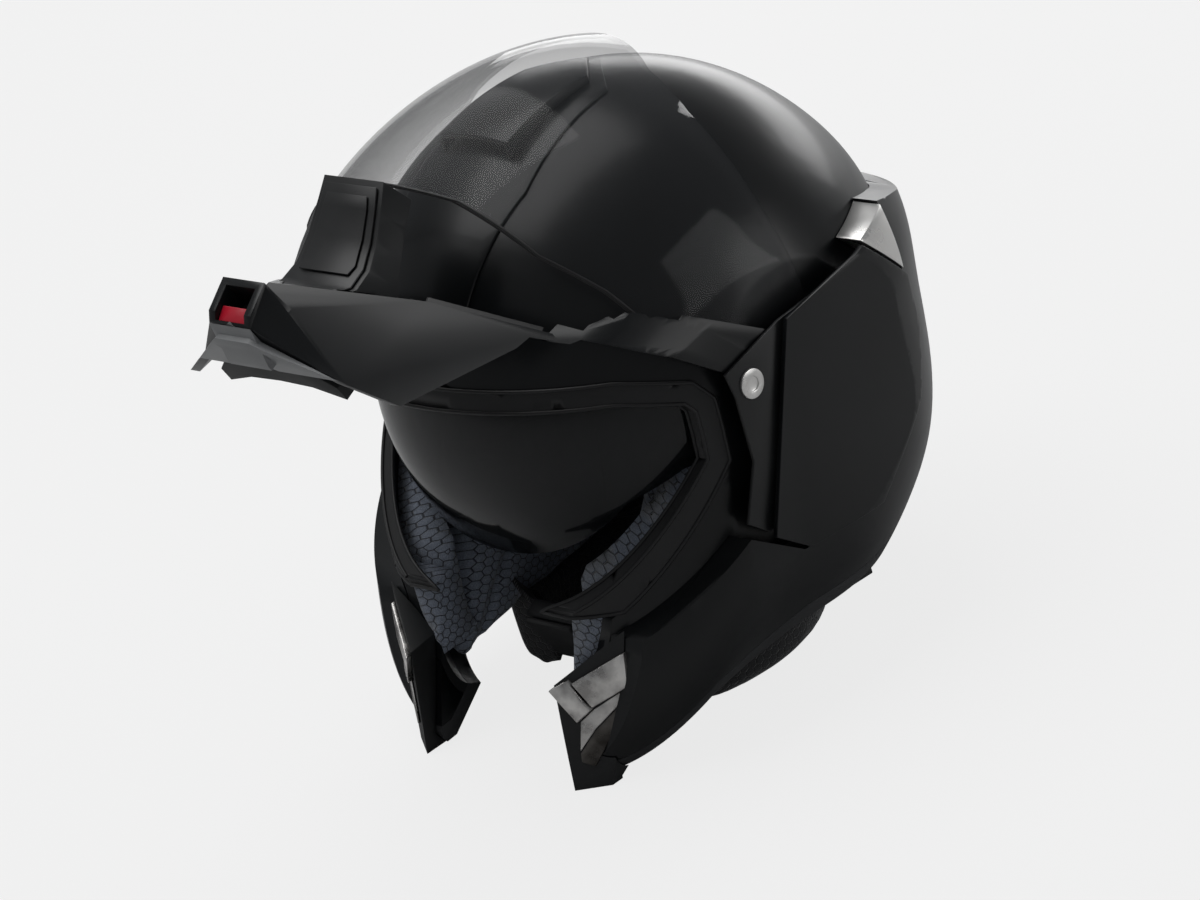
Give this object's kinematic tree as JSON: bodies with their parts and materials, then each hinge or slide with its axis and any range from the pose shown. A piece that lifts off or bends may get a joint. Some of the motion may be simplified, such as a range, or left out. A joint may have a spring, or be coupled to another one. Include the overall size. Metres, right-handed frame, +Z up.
{
  "type": "modular motorcycle helmet",
  "caption": "Flip-up full-face helmet with its chin bar and clear visor raised, a drop-down sun visor, sliding vents, fabric lining and a chin strap.",
  "frame": {"origin": "centre of the bounding box's bottom, on the surface that the helmet stands on", "axes": "+Z up, -Y the way the wearer faces, +X the wearer's left"},
  "size_m": [0.243, 0.3282, 0.284],
  "materials": {
    "gloss_black": "gloss",
    "satin_black": "satin",
    "matte_black": "matte",
    "rim_rubber": "matte",
    "rubber_black": "matte",
    "foam_grey": "matte",
    "lining_fabric": "knit",
    "neck_fabric": "knit",
    "clear_visor": "gloss",
    "smoked_visor": "gloss",
    "steel": "satin",
    "silver": "satin",
    "light_grey": "satin",
    "red_plastic": "satin",
    "webbing": "woven"
  },
  "bodies": {
    "shell": {"crown_shell": "gloss_black", "lower_shell": "gloss_black", "rim_trim": "rim_rubber", "eye_port_gasket": "rubber_black", "vent_surround": "gloss_black", "foam_liner": "foam_grey", "crown_liner": "lining_fabric", "cheek_pad_left": "lining_fabric", "cheek_pad_right": "lining_fabric", "neck_roll": "neck_fabric", "sun_visor_pins": "steel", "hinge_base_left": "satin_black", "hinge_base_right": "satin_black", "hinge_axles": "steel", "hinge_bolts": "steel", "base_screws": "steel", "ring_screws": "silver", "side_plate_left": "gloss_black", "side_plate_right": "gloss_black", "pod_accents": "silver", "cheek_end_left": "matte_black", "cheek_end_right": "matte_black", "latch_plate_left": "silver", "latch_plate_right": "silver", "latch_shield_left": "silver", "latch_shield_right": "silver", "chin_strap_left": "webbing", "chin_strap_right": "webbing", "buckle_body": "matte_black", "strap_rivets": "steel"},
    "chin_bar": {"chin_shell": "gloss_black", "lower_lip": "light_grey", "chin_core": "matte_black", "seal_lip": "rubber_black", "chin_arm_left": "gloss_black", "chin_arm_right": "gloss_black", "chin_vent_frame": "satin_black", "chin_vent_cover": "satin_black"},
    "clear_visor": {"visor": "clear_visor"},
    "sun_shade": {"sun_visor": "smoked_visor"},
    "shade_slider": {"sun_slider": "matte_black"},
    "crown_vent": {"vent_hood": "gloss_black"},
    "chin_vent": {"chin_vent_slider": "satin_black"},
    "release": {"release_button": "red_plastic"},
    "hooks": {"latch_hooks": "steel"},
    "lever": {"buckle_lever": "matte_black"}
  },
  "joints": [
    {"name": "chin_bar_lift", "type": "hinge", "parent": "shell", "child": "chin_bar", "pos_m": [0, 0.03241, 0.14103], "axis": [1, 0, 0], "range_deg": [0, 67]},
    {"name": "visor_lift", "type": "hinge", "parent": "shell", "child": "clear_visor", "pos_m": [0, 0.03241, 0.14103], "axis": [1, 0, 0], "range_deg": [0, 75]},
    {"name": "sun_visor_swing", "type": "hinge", "parent": "shell", "child": "sun_shade", "pos_m": [0, 0.03241, 0.14103], "axis": [1, 0, 0], "range_deg": [-48, 0]},
    {"name": "sun_slider_slide", "type": "slide", "parent": "shell", "child": "shade_slider", "axis": [0, 0.9973, -0.0737], "range_m": [0, 0.018]},
    {"name": "crown_vent_slide", "type": "hinge", "parent": "shell", "child": "crown_vent", "pos_m": [0, 0.03241, 0.14103], "axis": [1, 0, 0], "range_deg": [0, 3]},
    {"name": "chin_vent_slide", "type": "slide", "parent": "chin_bar", "child": "chin_vent", "axis": [0, 0.6462, 0.7632], "range_m": [0, 0.003]},
    {"name": "release_button_press", "type": "slide", "parent": "chin_bar", "child": "release", "axis": [0, 0.3907, -0.9205], "range_m": [0, 0.003], "stiffness_N_per_m": 300},
    {"name": "latch_hook_release", "type": "slide", "parent": "chin_bar", "child": "hooks", "axis": [0, 0.9205, 0.3907], "range_m": [0, 0.002]},
    {"name": "buckle_lever_open", "type": "hinge", "parent": "shell", "child": "lever", "pos_m": [-0.0183, -0.04622, 0.03109], "axis": [0, 0.46, -0.8879], "range_deg": [0, 60]}
  ],
  "couplings": [
    {"joint": "sun_slider_slide", "follows": "sun_visor_swing", "m_per_rad": -0.021486},
    {"joint": "latch_hook_release", "follows": "release_button_press", "ratio": 0.6667}
  ]
}
